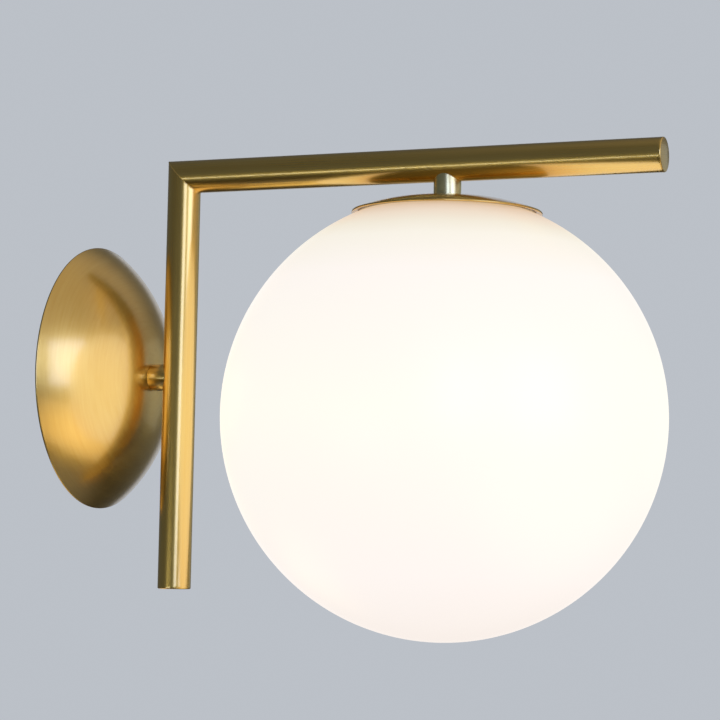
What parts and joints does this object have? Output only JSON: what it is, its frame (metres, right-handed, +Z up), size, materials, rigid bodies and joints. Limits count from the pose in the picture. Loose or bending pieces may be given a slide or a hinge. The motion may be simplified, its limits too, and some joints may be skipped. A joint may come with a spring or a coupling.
{
  "type": "globe wall sconce",
  "caption": "Wall light with a domed brass canopy, a mitred tube frame and an opal glass globe hung under its arm; the globe pulls down off a spring gallery and the lamp unscrews.",
  "frame": {"origin": "on the wall, at the centre of the canopy, midway between the two wall screws", "axes": "+Z up, -Y out from the wall along the arm, +X along the wall; the light is the same on both sides of X = 0"},
  "size_m": [0.2, 0.276, 0.2223],
  "materials": {
    "brushed_brass": "satin brushed, lacquered",
    "brass_turned": "turned",
    "pale_nickel": "satin nickel",
    "zinc_steel": "zinc plated",
    "spring_steel": "bright rolled",
    "opal_glass": "acid-etched opal, lit from inside",
    "white_plastic": "moulded",
    "holder_plastic": "moulded thermoset",
    "bulb_plastic": "frosted diffuser",
    "black_insulator": "fired",
    "gasket": "silicone",
    "live_insulation": "extruded",
    "neutral_insulation": "extruded",
    "earth_insulation": "extruded, striped",
    "board": "solder mask",
    "emitter": "phosphor"
  },
  "bodies": {
    "fitting": {"wall_bracket": "zinc_steel", "wall_spigot": "brass_turned", "spigot_nuts": "zinc_steel", "spigot_washer": "zinc_steel", "canopy": "brushed_brass", "terminal_block": "white_plastic", "terminal_inserts": "brass_turned", "terminal_screws": "zinc_steel", "block_screw": "zinc_steel", "earth_screw": "zinc_steel", "earth_tag": "brass_turned", "earth_wire": "earth_insulation", "live_wire": "live_insulation", "neutral_wire": "neutral_insulation", "frame_stub": "brushed_brass", "stub_grub_screw": "zinc_steel", "upright_tube": "brushed_brass", "arm_tube": "brushed_brass", "upright_end_plug": "brushed_brass", "arm_end_plug": "brushed_brass", "stem": "pale_nickel", "arm_saddle_nut": "brass_turned", "stem_nipple": "zinc_steel", "globe_cap": "brushed_brass", "cap_gasket": "gasket", "gallery_plate": "zinc_steel", "leaf_springs": "spring_steel", "spring_rivets": "zinc_steel", "nipple_washer": "zinc_steel", "nipple_nut": "zinc_steel", "holder_cap": "holder_plastic", "holder_body": "holder_plastic", "screw_shell": "brass_turned", "centre_contact": "brass_turned", "holder_terminals": "brass_turned", "holder_screws": "zinc_steel"},
    "globe": {"globe": "opal_glass", "globe_collar": "zinc_steel"},
    "bulb_contact": {"bulb_tip_contact": "spring_steel", "bulb_insulator": "black_insulator"},
    "bulb": {"bulb_screw_cap": "spring_steel", "bulb_collar": "white_plastic", "bulb_envelope": "bulb_plastic", "led_board": "board", "led_emitters": "emitter", "driver_board": "board"}
  },
  "joints": [
    {"name": "globe_drop", "type": "slide", "parent": "fitting", "child": "globe", "axis": [0, 0, -1], "range_m": [0, 0.12]},
    {"name": "bulb_lead", "type": "slide", "parent": "fitting", "child": "bulb_contact", "axis": [0, 0, -1], "range_m": [0, 0.01129]},
    {"name": "bulb_turn", "type": "hinge", "parent": "bulb_contact", "child": "bulb", "pos_m": [0, -0.1755, 0.05], "axis": [0, 0, -1], "range_deg": [0, 1440]}
  ],
  "couplings": [
    {"joint": "bulb_lead", "follows": "bulb_turn", "m_per_rad": 0.00044914}
  ]
}
